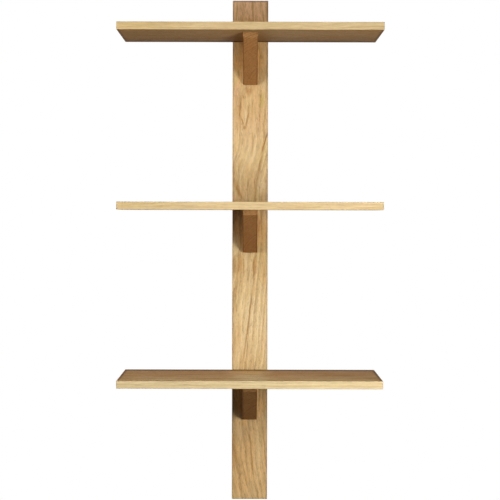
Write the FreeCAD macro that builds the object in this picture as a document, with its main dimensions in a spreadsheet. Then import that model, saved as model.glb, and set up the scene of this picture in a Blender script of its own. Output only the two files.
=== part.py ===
"""Wall-hung oak bookshelf: three shelves on one upright spine board, each on a wedge bracket.

All lengths are in millimetres. Seen from the room, +X is to the right, +Y goes into the wall and +Z is up.
The origin is the centre of the spine's back face, which lies flat against the wall.
"""
import FreeCAD, Part
import Sketcher
import math
import os

# Every size that can be set by itself. All other places and sizes are worked out from these.
DRIVING_SIZES = {
    # the spine board
    "spine_length": 1200,
    "spine_width": 85,
    "spine_thickness": 22,
    # the shelves, and how far the spine stands up above the top one
    "shelf_width": 600,
    "shelf_depth": 200,
    "shelf_thickness": 18,
    "shelf_pitch": 402.5,
    "crown_height": 81.5,
    # the wedge brackets: how far they reach forward, and the blunt ends of their slope
    "bracket_width": 34,
    "bracket_height": 102,
    "bracket_reach": 160,
    "bracket_nose": 12,
    "bracket_toe": 5,
    # the small round on every edge that a hand can reach
    "edge_round": 1,
    # countersunk screws through the spine into the shelves and the brackets
    "screw_diameter": 5,
    "screw_head": 10,
    "screw_length": 60,
    "screw_point": 6,
    "screw_cross_width": 1.1,
    "screw_cross_length": 5.4,
    "screw_cross_depth": 2.4,
    "screw_clearance": 0.25,
    "shelf_screw_spacing": 50,
    "bracket_screw_drop": 30,
    "bracket_screw_spacing": 40,
    # glued dowels between each bracket and its shelf
    "dowel_diameter": 8,
    "dowel_chamfer": 1,
    "dowel_in_shelf": 10,
    "dowel_in_bracket": 20,
    "dowel_setback": 35,
    "dowel_spacing": 70,
    "glue_gap": 0.05,
    # room past the end of each dowel and screw in its hole
    "end_room": 1,
    # keyhole plates let in flush in the spine's back, one near each end
    "hanger_length": 60,
    "hanger_width": 18,
    "hanger_thickness": 2,
    "hanger_inset": 45,
    "hanger_clearance": 0.2,
    "keyhole_entry": 10,
    "keyhole_slot": 5,
    "keyhole_travel": 14,
    "head_room_width": 13,
    "head_room_depth": 6,
    # the small screws that hold the keyhole plates
    "hanger_screw_diameter": 3.5,
    "hanger_screw_head": 7,
    "hanger_screw_length": 16,
    "hanger_screw_point": 4,
    "hanger_screw_cross_width": 0.9,
    "hanger_screw_cross_length": 3.8,
    "hanger_screw_cross_depth": 1.4,
    "hanger_screw_spacing": 46,
}

# The three levels, counted down from the top shelf.
LEVELS = ("top", "middle", "bottom")
COUNTERSINK_ANGLE = 90
FULL_TURN = 360
PARTS_FOLDER = "parts"

# How a sketch numbers its two axes, and the points of what is drawn in it.
UP_AXIS, ACROSS_AXIS = range(-2, 0)
START, END, CENTRE = range(1, 4)

ZERO = "0"
SKETCH_NORMAL = FreeCAD.Vector(0, 0, 1)
TOUCHING = 0.001

doc = FreeCAD.newDocument("spine_bookshelf")


def fill_sheet():
    """Puts the driving sizes in the document's spreadsheet, each under its own alias."""
    sheet = doc.addObject("Spreadsheet::Sheet", "Sizes")
    for row, (alias, size) in enumerate(DRIVING_SIZES.items(), start=1):
        sheet.set(f"A{row}", alias.replace("_", " "))
        sheet.set(f"B{row}", str(size))
        sheet.setAlias(f"B{row}", alias)
    doc.recompute()
    return sheet


sizes = fill_sheet()


def value(expression):
    """The number that an expression over the sheet stands for, used to start a sketch off in its place."""
    return float(sizes.evalExpression(expression))


def minus(expression):
    return ZERO if expression == ZERO else f"-({expression})"


# Expressions that more than one piece uses.
TOP_SHELF_HEIGHT = "Sizes.spine_length / 2 - Sizes.crown_height - Sizes.shelf_thickness / 2"
HALF_SHELF = "Sizes.shelf_thickness / 2"
HALF_SCREW_SPACING = "Sizes.shelf_screw_spacing / 2"
SCREW_REACH = "(Sizes.screw_length - Sizes.spine_thickness)"
PILOT_DEPTH = f"{SCREW_REACH} + Sizes.end_room"
DOWEL_HOLE = "Sizes.dowel_diameter + 2 * Sizes.glue_gap"
SECOND_DOWEL = "Sizes.dowel_setback + Sizes.dowel_spacing"
LOWER_SCREW_DROP = "Sizes.bracket_screw_drop + Sizes.bracket_screw_spacing"
HANGER_HEIGHT = "(Sizes.spine_length / 2 - Sizes.hanger_inset)"
HANGERS = {"upper": HANGER_HEIGHT, "lower": minus(HANGER_HEIGHT)}
HALF_TRAVEL = "Sizes.keyhole_travel / 2"
HALF_HANGER_SCREWS = "Sizes.hanger_screw_spacing / 2"


def shelf_height(level):
    """Height of a shelf's middle plane above the origin."""
    return f"({TOP_SHELF_HEIGHT} - {LEVELS.index(level)} * Sizes.shelf_pitch)"


# --- sketches and features ---------------------------------------------------------------------------------


def new_body(label, across=ZERO, into_wall=ZERO, height=ZERO):
    """A body for one piece, with its place in the assembly bound to the sheet."""
    body = doc.addObject("PartDesign::Body", label)
    body.Label = label
    for axis, expression in (("x", across), ("y", into_wall), ("z", height)):
        if expression != ZERO:
            body.setExpression(f"Placement.Base.{axis}", expression)
    return body


def origin_feature(body, role):
    """One of the body's own origin planes or axes."""
    return next(feature for feature in body.Origin.OriginFeatures if feature.Role == role)


def new_sketch(body, plane, name):
    sketch = body.newObject("Sketcher::SketchObject", name)
    sketch.AttachmentSupport = [(origin_feature(body, plane), "")]
    sketch.MapMode = "FlatFace"
    return sketch


def drive(sketch, expression, kind, *where):
    """Adds a dimension to a sketch and binds it to an expression."""
    index = sketch.addConstraint(Sketcher.Constraint(kind, *where, value(expression)))
    sketch.setExpression(f"Constraints[{index}]", expression)


def place_point(sketch, geometry, point, across, up):
    """Fixes a point of a sketch at two distances from the sketch's origin."""
    for kind, expression, axis in (("DistanceX", across, UP_AXIS), ("DistanceY", up, ACROSS_AXIS)):
        if expression == ZERO:
            sketch.addConstraint(Sketcher.Constraint("PointOnObject", geometry, point, axis))
        else:
            drive(sketch, expression, kind, ACROSS_AXIS, START, geometry, point)


def draw_polygon(sketch, corners):
    """A closed outline of straight lines. Each corner is a pair of expressions."""
    points = [FreeCAD.Vector(value(across), value(up), 0) for across, up in corners]
    lines = [
        sketch.addGeometry(Part.LineSegment(start, end))
        for start, end in zip(points, points[1:] + points[:1])
    ]
    for line, following in zip(lines, lines[1:] + lines[:1]):
        sketch.addConstraint(Sketcher.Constraint("Coincident", line, END, following, START))
    for line, (across, up) in zip(lines, corners):
        place_point(sketch, line, START, across, up)


def draw_rectangle(sketch, left, right, low, high):
    draw_polygon(sketch, [(left, low), (right, low), (right, high), (left, high)])


def draw_circle(sketch, across, up, diameter):
    centre = FreeCAD.Vector(value(across), value(up), 0)
    circle = sketch.addGeometry(Part.Circle(centre, SKETCH_NORMAL, value(diameter) / 2))
    drive(sketch, diameter, "Diameter", circle)
    place_point(sketch, circle, CENTRE, across, up)


def draw_slot(sketch, low, high, width):
    """An upright slot with round ends, on the sketch's middle line. low and high are its arcs' centres."""
    radius = value(width) / 2
    side = FreeCAD.Vector(radius, 0, 0)
    low_point = FreeCAD.Vector(0, value(low), 0)
    high_point = FreeCAD.Vector(0, value(high), 0)
    low_circle = Part.Circle(low_point, SKETCH_NORMAL, radius)
    high_circle = Part.Circle(high_point, SKETCH_NORMAL, radius)
    low_arc = sketch.addGeometry(Part.ArcOfCircle(low_circle, math.pi, 2 * math.pi))
    right = sketch.addGeometry(Part.LineSegment(low_point + side, high_point + side))
    high_arc = sketch.addGeometry(Part.ArcOfCircle(high_circle, 0, math.pi))
    left = sketch.addGeometry(Part.LineSegment(high_point - side, low_point - side))
    ring = (low_arc, right, high_arc, left)
    for piece, following in zip(ring, ring[1:] + ring[:1]):
        sketch.addConstraint(Sketcher.Constraint("Tangent", piece, END, following, START))
    sketch.addConstraint(Sketcher.Constraint("Equal", low_arc, high_arc))
    drive(sketch, f"({width}) / 2", "Radius", low_arc)
    place_point(sketch, low_arc, CENTRE, ZERO, low)
    place_point(sketch, high_arc, CENTRE, ZERO, high)


def pad(body, sketch, length, symmetric=False):
    feature = body.newObject("PartDesign::Pad", f"{sketch.Name}_pad")
    feature.Profile = sketch
    feature.setExpression("Length", length)
    if symmetric:
        feature.SideType = "Symmetric"
    doc.recompute()
    return feature


def pocket(body, sketch, depth=None, reverse=False):
    """Cuts a sketch into the body, to a depth or right through, and makes sure that something was cut."""
    before = body.Shape.Volume
    feature = body.newObject("PartDesign::Pocket", f"{sketch.Name}_pocket")
    feature.Profile = sketch
    feature.Reversed = reverse
    if depth is None:
        feature.Type = "ThroughAll"
    else:
        feature.setExpression("Length", depth)
    doc.recompute()
    if not body.Shape.Volume < before:
        raise RuntimeError(f"{feature.Name} cuts nothing")
    return feature


def countersunk_hole(body, sketch, diameter, head):
    """Drills right through at each circle of the sketch, with a countersink where the drill goes in."""
    doc.recompute()
    before = body.Shape.Volume
    feature = body.newObject("PartDesign::Hole", f"{sketch.Name}_hole")
    feature.Profile = sketch
    feature.Reversed = True
    feature.DepthType = "ThroughAll"
    feature.HoleCutType = "Countersink"
    feature.HoleCutCustomValues = True
    feature.HoleCutCountersinkAngle = COUNTERSINK_ANGLE
    feature.setExpression("Diameter", diameter)
    feature.setExpression("HoleCutDiameter", head)
    doc.recompute()
    if not body.Shape.Volume < before:
        raise RuntimeError(f"{feature.Name} cuts nothing")
    return feature


def round_edges(body, base, wanted=None):
    """Rounds the edges of the base feature, all of them or those that pass the test."""
    names = [
        f"Edge{number}"
        for number, edge in enumerate(base.Shape.Edges, start=1)
        if wanted is None or wanted(edge)
    ]
    feature = body.newObject("PartDesign::Fillet", f"{base.Name}_round")
    feature.Base = (base, names)
    feature.setExpression("Radius", "Sizes.edge_round")
    doc.recompute()
    return feature


def revolve(body, sketch, axis):
    feature = body.newObject("PartDesign::Revolution", f"{sketch.Name}_turned")
    feature.Profile = sketch
    feature.ReferenceAxis = (sketch, [axis])
    feature.Angle = FULL_TURN
    doc.recompute()
    return feature


def repeat(body, features, axis, spacing, reverse=False):
    """A second copy of the features, one spacing along an axis of the body."""
    pattern = body.newObject("PartDesign::LinearPattern", f"{body.Name}_pair")
    pattern.Originals = features
    pattern.Direction = (origin_feature(body, axis), [""])
    pattern.Reversed = reverse
    pattern.Occurrences = 2
    pattern.setExpression("Length", spacing)
    body.Tip = pattern
    doc.recompute()
    return pattern


# --- the wooden pieces -------------------------------------------------------------------------------------


def make_spine():
    """The upright board, drilled from the back for the screws and let in for the two keyhole plates."""
    body = new_body("spine_board")
    outline = new_sketch(body, "XZ_Plane", "spine_outline")
    half_width = "Sizes.spine_width / 2"
    half_length = "Sizes.spine_length / 2"
    draw_rectangle(outline, minus(half_width), half_width, minus(half_length), half_length)
    board = pad(body, outline, "Sizes.spine_thickness")
    round_edges(body, board)

    drilling = new_sketch(body, "XZ_Plane", "spine_drilling")
    clearance_hole = "Sizes.screw_diameter + 2 * Sizes.screw_clearance"
    for level in LEVELS:
        for across in (minus(HALF_SCREW_SPACING), HALF_SCREW_SPACING):
            draw_circle(drilling, across, shelf_height(level), clearance_hole)
        for drop in ("Sizes.bracket_screw_drop", LOWER_SCREW_DROP):
            draw_circle(drilling, ZERO, f"{shelf_height(level)} - {HALF_SHELF} - ({drop})", clearance_hole)
    countersunk_hole(body, drilling, clearance_hole, "Sizes.screw_head")

    for name, height in HANGERS.items():
        recess = new_sketch(body, "XZ_Plane", f"{name}_recess")
        half_straight = "(Sizes.hanger_length - Sizes.hanger_width) / 2"
        draw_slot(
            recess,
            f"{height} - {half_straight}",
            f"{height} + {half_straight}",
            "Sizes.hanger_width + 2 * Sizes.hanger_clearance",
        )
        pocket(body, recess, "Sizes.hanger_thickness", reverse=True)

        head_room = new_sketch(body, "XZ_Plane", f"{name}_head_room")
        draw_slot(head_room, f"{height} - {HALF_TRAVEL}", f"{height} + {HALF_TRAVEL}", "Sizes.head_room_width")
        pocket(body, head_room, "Sizes.hanger_thickness + Sizes.head_room_depth", reverse=True)

        pilots = new_sketch(body, "XZ_Plane", f"{name}_pilots")
        for sign in ("-", "+"):
            draw_circle(pilots, ZERO, f"{height} {sign} {HALF_HANGER_SCREWS}", "Sizes.hanger_screw_diameter")
        pocket(body, pilots, "Sizes.hanger_screw_length + Sizes.end_room", reverse=True)
    return body


def make_shelf(level):
    """One shelf board. Its own origin is the middle of its rear edge, where it meets the spine."""
    body = new_body(f"{level}_shelf", into_wall=minus("Sizes.spine_thickness"), height=shelf_height(level))
    outline = new_sketch(body, "XY_Plane", f"{level}_shelf_outline")
    half_width = "Sizes.shelf_width / 2"
    draw_rectangle(outline, minus(half_width), half_width, minus("Sizes.shelf_depth"), ZERO)
    board = pad(body, outline, "Sizes.shelf_thickness", symmetric=True)
    round_edges(body, board)

    pilots = new_sketch(body, "XZ_Plane", f"{level}_shelf_pilots")
    for across in (minus(HALF_SCREW_SPACING), HALF_SCREW_SPACING):
        draw_circle(pilots, across, ZERO, "Sizes.screw_diameter")
    pocket(body, pilots, PILOT_DEPTH, reverse=True)

    dowel_holes = new_sketch(body, "XY_Plane", f"{level}_shelf_dowel_holes")
    dowel_holes.setExpression("AttachmentOffset.Base.z", minus(HALF_SHELF))
    for setback in ("Sizes.dowel_setback", SECOND_DOWEL):
        draw_circle(dowel_holes, ZERO, minus(setback), DOWEL_HOLE)
    pocket(body, dowel_holes, "Sizes.dowel_in_shelf + Sizes.end_room", reverse=True)
    return body


def make_bracket(level):
    """One wedge bracket. Its own origin is where its top meets the shelf and its back meets the spine."""
    body = new_body(
        f"{level}_bracket",
        into_wall=minus("Sizes.spine_thickness"),
        height=f"{shelf_height(level)} - {HALF_SHELF}",
    )
    side = new_sketch(body, "YZ_Plane", f"{level}_bracket_side")
    draw_polygon(side, [
        (ZERO, ZERO),
        (minus("Sizes.bracket_reach"), ZERO),
        (minus("Sizes.bracket_reach"), minus("Sizes.bracket_nose")),
        (minus("Sizes.bracket_toe"), minus("Sizes.bracket_height")),
        (ZERO, minus("Sizes.bracket_height")),
    ])
    wedge = pad(body, side, "Sizes.bracket_width", symmetric=True)

    def in_sight(edge):
        """True for an edge that lies neither against the shelf nor against the spine."""
        return edge.BoundBox.ZMin < -TOUCHING and edge.BoundBox.YMin < -TOUCHING

    round_edges(body, wedge, in_sight)

    pilots = new_sketch(body, "XZ_Plane", f"{level}_bracket_pilots")
    for drop in ("Sizes.bracket_screw_drop", LOWER_SCREW_DROP):
        draw_circle(pilots, ZERO, minus(drop), "Sizes.screw_diameter")
    pocket(body, pilots, PILOT_DEPTH, reverse=True)

    dowel_holes = new_sketch(body, "XY_Plane", f"{level}_bracket_dowel_holes")
    for setback in ("Sizes.dowel_setback", SECOND_DOWEL):
        draw_circle(dowel_holes, ZERO, minus(setback), DOWEL_HOLE)
    pocket(body, dowel_holes, "Sizes.dowel_in_bracket + Sizes.end_room")
    return body


def make_dowels(level):
    """Two dowels with chamfered ends, half in the bracket and half in the shelf."""
    body = new_body(
        f"{level}_dowels",
        into_wall="-Sizes.spine_thickness - Sizes.dowel_setback",
        height=f"{shelf_height(level)} - {HALF_SHELF}",
    )
    half_profile = new_sketch(body, "XZ_Plane", f"{level}_dowel_profile")
    radius = "Sizes.dowel_diameter / 2"
    end_radius = f"{radius} - Sizes.dowel_chamfer"
    low = minus("Sizes.dowel_in_bracket")
    high = "Sizes.dowel_in_shelf"
    draw_polygon(half_profile, [
        (ZERO, low),
        (end_radius, low),
        (radius, f"{low} + Sizes.dowel_chamfer"),
        (radius, f"{high} - Sizes.dowel_chamfer"),
        (end_radius, high),
        (ZERO, high),
    ])
    dowel = revolve(body, half_profile, "V_Axis")
    repeat(body, [dowel], "Y_Axis", "Sizes.dowel_spacing", reverse=True)
    return body


# --- the metal pieces --------------------------------------------------------------------------------------


def make_screws(label, family, height, axis, spacing, across=ZERO):
    """Two countersunk screws that point away from the wall. family names their sizes in the sheet."""
    body = new_body(label, across=across, height=height)
    radius = f"Sizes.{family}_diameter / 2"
    head_radius = f"Sizes.{family}_head / 2"
    half_profile = new_sketch(body, "YZ_Plane", f"{label}_profile")
    draw_polygon(half_profile, [
        (ZERO, ZERO),
        (ZERO, head_radius),
        (f"{radius} - {head_radius}", radius),
        (f"Sizes.{family}_point - Sizes.{family}_length", radius),
        (minus(f"Sizes.{family}_length"), ZERO),
    ])
    screw = revolve(body, half_profile, "H_Axis")

    cross = new_sketch(body, "XZ_Plane", f"{label}_cross")
    arm = f"Sizes.{family}_cross_length / 2"
    half_slot = f"Sizes.{family}_cross_width / 2"
    draw_polygon(cross, [
        (half_slot, half_slot), (half_slot, arm), (minus(half_slot), arm), (minus(half_slot), half_slot),
        (minus(arm), half_slot), (minus(arm), minus(half_slot)), (minus(half_slot), minus(half_slot)),
        (minus(half_slot), minus(arm)), (half_slot, minus(arm)), (half_slot, minus(half_slot)),
        (arm, minus(half_slot)), (arm, half_slot),
    ])
    drive_recess = pocket(body, cross, f"Sizes.{family}_cross_depth", reverse=True)
    repeat(body, [screw, drive_recess], axis, spacing)
    return body


def make_shelf_screws(level):
    return make_screws(
        f"{level}_shelf_screws", "screw", shelf_height(level),
        axis="X_Axis", spacing="Sizes.shelf_screw_spacing", across=minus(HALF_SCREW_SPACING),
    )


def make_bracket_screws(level):
    return make_screws(
        f"{level}_bracket_screws", "screw", f"{shelf_height(level)} - {HALF_SHELF} - ({LOWER_SCREW_DROP})",
        axis="Z_Axis", spacing="Sizes.bracket_screw_spacing",
    )


def make_hanger_screws(name):
    return make_screws(
        f"{name}_hanger_screws", "hanger_screw", f"{HANGERS[name]} - {HALF_HANGER_SCREWS}",
        axis="Z_Axis", spacing="Sizes.hanger_screw_spacing",
    )


def make_hanger_plate(name):
    """A keyhole plate, flush with the spine's back. A wall screw's head enters below and hooks above."""
    body = new_body(f"{name}_hanger_plate", height=HANGERS[name])
    outline = new_sketch(body, "XZ_Plane", f"{name}_plate_outline")
    half_straight = "(Sizes.hanger_length - Sizes.hanger_width) / 2"
    draw_slot(outline, minus(half_straight), half_straight, "Sizes.hanger_width")
    pad(body, outline, "Sizes.hanger_thickness")

    entry = new_sketch(body, "XZ_Plane", f"{name}_keyhole_entry")
    draw_circle(entry, ZERO, minus(HALF_TRAVEL), "Sizes.keyhole_entry")
    pocket(body, entry, reverse=True)

    slot = new_sketch(body, "XZ_Plane", f"{name}_keyhole_slot")
    draw_slot(slot, minus(HALF_TRAVEL), HALF_TRAVEL, "Sizes.keyhole_slot")
    pocket(body, slot, reverse=True)

    fixings = new_sketch(body, "XZ_Plane", f"{name}_plate_fixings")
    for up in (minus(HALF_HANGER_SCREWS), HALF_HANGER_SCREWS):
        draw_circle(fixings, ZERO, up, "Sizes.hanger_screw_diameter")
    countersunk_hole(body, fixings, "Sizes.hanger_screw_diameter", "Sizes.hanger_screw_head")
    return body


# --- the assembly ------------------------------------------------------------------------------------------


def make_assembly():
    pieces = [make_spine()]
    for level in LEVELS:
        for make_piece in (make_shelf, make_bracket, make_dowels, make_shelf_screws, make_bracket_screws):
            pieces.append(make_piece(level))
    for name in HANGERS:
        pieces.append(make_hanger_plate(name))
        pieces.append(make_hanger_screws(name))
    return pieces


def check_document(pieces):
    """Stops if any object failed to build, or a piece isn't a valid shape."""
    doc.recompute()
    for item in doc.Objects:
        if {"Invalid", "Error"} & set(item.State):
            raise RuntimeError(f"{item.Name} did not build: {item.State}")
    for piece in pieces:
        if piece.Shape.isNull() or not piece.Shape.isValid():
            raise RuntimeError(f"{piece.Label} is not a valid shape")


def write_pieces(pieces):
    os.makedirs(PARTS_FOLDER, exist_ok=True)
    for piece in pieces:
        piece.Shape.exportStep(f"{PARTS_FOLDER}/{piece.Label}.step")
        print(f"{piece.Label}: {len(piece.Shape.Solids)} solid(s), {piece.Shape.Volume:.1f} mm3")


all_pieces = make_assembly()
check_document(all_pieces)
write_pieces(all_pieces)
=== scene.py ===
"""The looks of the wall-hung oak bookshelf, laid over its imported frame.

Metres, in the frame's own axes: +X to the right as seen from the room, +Y into the wall, +Z up.
"""
import math

import bmesh
import bpy
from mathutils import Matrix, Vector


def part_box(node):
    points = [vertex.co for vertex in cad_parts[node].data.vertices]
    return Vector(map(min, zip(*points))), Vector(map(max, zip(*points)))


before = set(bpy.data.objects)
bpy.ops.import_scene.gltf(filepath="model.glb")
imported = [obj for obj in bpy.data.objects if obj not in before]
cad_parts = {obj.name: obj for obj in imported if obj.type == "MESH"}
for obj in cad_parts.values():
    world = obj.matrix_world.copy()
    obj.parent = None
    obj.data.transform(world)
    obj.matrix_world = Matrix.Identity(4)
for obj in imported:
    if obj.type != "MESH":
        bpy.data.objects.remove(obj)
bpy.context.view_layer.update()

LEVELS = ("top", "middle", "bottom")
HANGERS = ("upper", "lower")

TO_ROOM = (0.0, -1.0, 0.0)
UP = (0.0, 0.0, 1.0)
DOWN = (0.0, 0.0, -1.0)


# --- node trees -----------------------------------------------------------------------------------

FLOAT = "NodeSocketFloat"
VECTOR = "NodeSocketVector"
COLOUR = "NodeSocketColor"
WHITE = (1.0, 1.0, 1.0, 1.0)


def swatch(red, green, blue):
    """A colour from a 0 to 255 paint swatch, as the linear colour that a shader takes."""
    def linear(part):
        part /= 255
        return part / 12.92 if part <= 0.04045 else ((part + 0.055) / 1.055) ** 2.4
    return (linear(red), linear(green), linear(blue), 1.0)


def socket_name(label):
    """A group's socket reads Half Width where the script says half_width."""
    return label.replace("_", " ").title()


class Graph:
    """A node tree, with short words for the nodes that the finishes are made of."""

    def __init__(self, tree):
        self.tree = tree

    def add(self, kind, **settings):
        node = self.tree.nodes.new(kind)
        for name, setting in settings.items():
            setattr(node, name, setting)
        return node

    def feed(self, socket, source):
        """Links a socket to another node's output, or sets it to a plain value."""
        if isinstance(source, bpy.types.NodeSocket):
            self.tree.links.new(source, socket)
        else:
            socket.default_value = source

    def number(self, operation, *sources):
        node = self.add("ShaderNodeMath", operation=operation)
        for socket, source in zip(node.inputs, sources):
            self.feed(socket, source)
        return node.outputs[0]

    def product(self, first, *others):
        for other in others:
            first = self.number("MULTIPLY", first, other)
        return first

    def varied(self, amount, depth):
        """A factor round 1, which falls by the depth while the amount goes from 0 to 1."""
        return self.number("MULTIPLY_ADD", amount, -depth, 1.0 + depth / 2)

    def vector(self, operation, *sources):
        node = self.add("ShaderNodeVectorMath", operation=operation)
        for socket, source in zip(node.inputs, sources):
            self.feed(socket, source)
        return node.outputs["Value" if operation in ("DOT_PRODUCT", "LENGTH") else "Vector"]

    def scaled(self, vector, factor):
        """A vector or a colour, times a number."""
        node = self.add("ShaderNodeVectorMath", operation="SCALE")
        self.feed(node.inputs[0], vector)
        self.feed(node.inputs["Scale"], factor)
        return node.outputs["Vector"]

    def split(self, vector):
        node = self.add("ShaderNodeSeparateXYZ")
        self.feed(node.inputs[0], vector)
        return node.outputs

    def join(self, *sources):
        node = self.add("ShaderNodeCombineXYZ")
        for socket, source in zip(node.inputs, sources):
            self.feed(socket, source)
        return node.outputs[0]

    def noise(self, place, detail=2.0, roughness=0.5):
        node = self.add("ShaderNodeTexNoise")
        self.feed(node.inputs["Vector"], place)
        node.inputs["Scale"].default_value = 1.0
        node.inputs["Detail"].default_value = detail
        node.inputs["Roughness"].default_value = roughness
        return node.outputs

    def dice(self, place):
        """A random colour that stays the same for the same place."""
        node = self.add("ShaderNodeTexWhiteNoise", noise_dimensions="3D")
        self.feed(node.inputs["Vector"], place)
        return node.outputs

    def ease(self, amount, start, end, low=0.0, high=1.0):
        """Goes softly from low to high while the amount goes from start to end."""
        node = self.add("ShaderNodeMapRange", interpolation_type="SMOOTHSTEP")
        for label, source in (("Value", amount), ("From Min", start), ("From Max", end),
                              ("To Min", low), ("To Max", high)):
            self.feed(node.inputs[label], source)
        return node.outputs[0]

    def mix(self, amount, first, second):
        """Mixes two colours. The sockets go by number, because a Mix node has each name several times."""
        node = self.add("ShaderNodeMix", data_type="RGBA", clamp_factor=True)
        self.feed(node.inputs[0], amount)
        self.feed(node.inputs[6], first)
        self.feed(node.inputs[7], second)
        return node.outputs[2]

    def cover(self, colour, tone, *masks):
        """Lays a tone over a colour, by the product of the masks and shares."""
        return self.mix(self.product(*masks), colour, tone)

    def place(self, group, **values):
        """Puts a node group in this tree. Each value goes to the socket of its name."""
        node = self.add("ShaderNodeGroup", node_tree=group)
        for label, source in values.items():
            self.feed(node.inputs[socket_name(label)], source)
        return node.outputs


def new_group(name, **takes):
    """A shader node group with named inputs: numbers, or vectors where the default is a triple."""
    tree = bpy.data.node_groups.new(name, "ShaderNodeTree")
    for label, default in takes.items():
        kind = VECTOR if isinstance(default, tuple) else FLOAT
        socket = tree.interface.new_socket(socket_name(label), in_out="INPUT", socket_type=kind)
        socket.default_value = default
    graph = Graph(tree)
    return graph, graph.add("NodeGroupInput").outputs


def close_group(graph, **gives):
    """Adds the group's named outputs."""
    way_out = graph.add("NodeGroupOutput")
    for label, source in gives.items():
        kind = {"VECTOR": VECTOR, "RGBA": COLOUR}.get(source.type, FLOAT)
        graph.tree.interface.new_socket(socket_name(label), in_out="OUTPUT", socket_type=kind)
    for socket, source in zip(way_out.inputs, gives.values()):
        graph.feed(socket, source)
    return graph.tree


def shuffled(graph, place, seed):
    """Moves a place far off by a seed, so that no two boards share their noise."""
    return graph.vector("ADD", place, graph.scaled((31.7, 19.3, 57.1), seed))


def drawn_out(graph, place, size, seed, detail=2.0, roughness=0.5):
    """Noise of a given size along each axis, as Fac and as Color."""
    return graph.noise(shuffled(graph, graph.vector("DIVIDE", place, size), seed), detail, roughness)


def facing(graph, way, start, end):
    """1 on the faces that look one way, and 0 on those that look aside."""
    normal = graph.add("ShaderNodeNewGeometry").outputs["Normal"]
    return graph.ease(graph.vector("DOT_PRODUCT", normal, way), start, end)


def emboss(graph, shader, height, strength, depth):
    """Gives the shader a fine relief: depth is what a height of 1 stands for."""
    bump = graph.add("ShaderNodeBump")
    bump.inputs["Strength"].default_value = strength
    bump.inputs["Distance"].default_value = depth
    graph.feed(bump.inputs["Height"], height)
    graph.feed(shader.inputs["Normal"], bump.outputs[0])


# --- what timber does, each built once ------------------------------------------------------------
# In all of these a position is measured from the board's centre, with the grain along Z. Sizes are given
# across the grain twice, then along it.

SWAY_GAIN = 3.0                                # noise keeps near its middle, so its swing is widened
TEAR_SIZE = (0.004, 0.004, 0.045)              # the ragged rim of a year ring
STROKE_SIZE = (0.009, 0.009, 0.07)             # a stretch where a ring shows more or less
BROAD_STREAK_SIZE = (0.0055, 0.0055, 0.075)
NARROW_STREAK_SIZE = (0.002, 0.002, 0.035)
PORE_SIZE = (0.0004, 0.0004, 0.008)
DASH_SIZE = (0.003, 0.003, 0.019)              # pores that run together
FRAY_SIZE = (0.006, 0.006, 0.03)               # the rim of a stain
MOTTLE_SIZE = (0.0045, 0.0045, 0.01)           # bundles of cut fibres on an end

RING_CHANGE = 2.6                              # how many years the rings crowd or spread by
RING_CHANGE_PACE = 0.3                         # and how often, for each year
EARLY_WOOD_RISE = (0.0, 0.12)                  # shares of a year: the porous band starts sharply
EARLY_WOOD_FALL = (0.15, 0.8)                  # and fades away slowly
FAINTEST_YEAR = 0.2
FAINTEST_STROKE = 0.25

FRAY_DEPTH = 1.2                               # in half sizes of the stain
STAIN_CORE = 0.2                               # the share of a stain that has its full strength

RAYS_PER_RADIAN = 110.0
RAY_DEPTH = 0.007                              # from the heart outwards
RAY_HEIGHT = 0.016

ARRIS_WAVES = 90.0                             # per metre of edge
STAVE_SHIFT_ASIDE = 0.05
STAVE_SHIFT_ALONG = 5.0
JOINT_WIDTH = 0.0009                           # on each side of a glued joint
BLOOM_SPOTS = 260.0                            # per metre of plating


def make_grain_flow():
    """Bends the grain: in the position that comes out, the fibres run straight along Z."""
    graph, given = new_group("grain_flow", position=(0.0, 0.0, 0.0), sway=0.004, sway_size=(0.12, 0.12, 0.2),
                             lean=0.0, seed=0.0)
    drift = drawn_out(graph, given["Position"], given["Sway Size"], given["Seed"], detail=3.0)["Color"]
    off_middle = graph.vector("SUBTRACT", drift, (0.5, 0.5, 0.5))
    swing = graph.number("MULTIPLY", given["Sway"], SWAY_GAIN)
    across, through, _ = graph.split(graph.scaled(off_middle, swing))
    across = graph.number("ADD", across, given["Lean"])
    flow = graph.vector("ADD", given["Position"], graph.join(across, through, 0.0))
    return close_group(graph, flow=flow)


def make_growth_rings():
    """Year rings round the log's heart: a dark porous band at each year's start, then pale late wood."""
    graph, given = new_group("growth_rings", flow=(0.0, 0.0, 0.0), heart=(0.0, 0.1, 0.0), ring_width=0.005,
                             swell=0.0, taper=0.01, ragged=0.2, seed=0.0)
    across, through, along = graph.split(graph.vector("SUBTRACT", given["Flow"], given["Heart"]))
    radius = graph.vector("LENGTH", graph.join(across, through, 0.0))
    radius = graph.number("MULTIPLY_ADD", along, given["Taper"], radius)
    radius = graph.number("ADD", radius, given["Swell"])
    years = graph.number("DIVIDE", radius, given["Ring Width"])

    pace = graph.join(graph.number("MULTIPLY", years, RING_CHANGE_PACE), 0.0, 0.0)
    change = graph.noise(shuffled(graph, pace, given["Seed"]))["Fac"]
    years = graph.number("MULTIPLY_ADD", change, RING_CHANGE, years)
    tear = drawn_out(graph, given["Flow"], TEAR_SIZE, given["Seed"], roughness=0.6)["Fac"]
    years = graph.number("MULTIPLY_ADD", tear, given["Ragged"], years)
    season = graph.number("FRACT", years)
    porous = graph.product(
        graph.ease(season, *EARLY_WOOD_RISE), graph.ease(season, *EARLY_WOOD_FALL, low=1.0, high=0.0))

    year = graph.dice(graph.join(graph.number("FLOOR", years), given["Seed"], 0.0))["Value"]
    stroke = drawn_out(graph, given["Flow"], STROKE_SIZE, given["Seed"])["Fac"]
    broken = graph.ease(stroke, 0.3, 0.62, low=FAINTEST_STROKE)
    strength = graph.number("MULTIPLY_ADD", year, 1.0 - FAINTEST_YEAR, FAINTEST_YEAR)
    strength = graph.product(strength, broken)
    return close_group(graph, early_wood=graph.product(porous, strength), year_tone=year)


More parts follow.
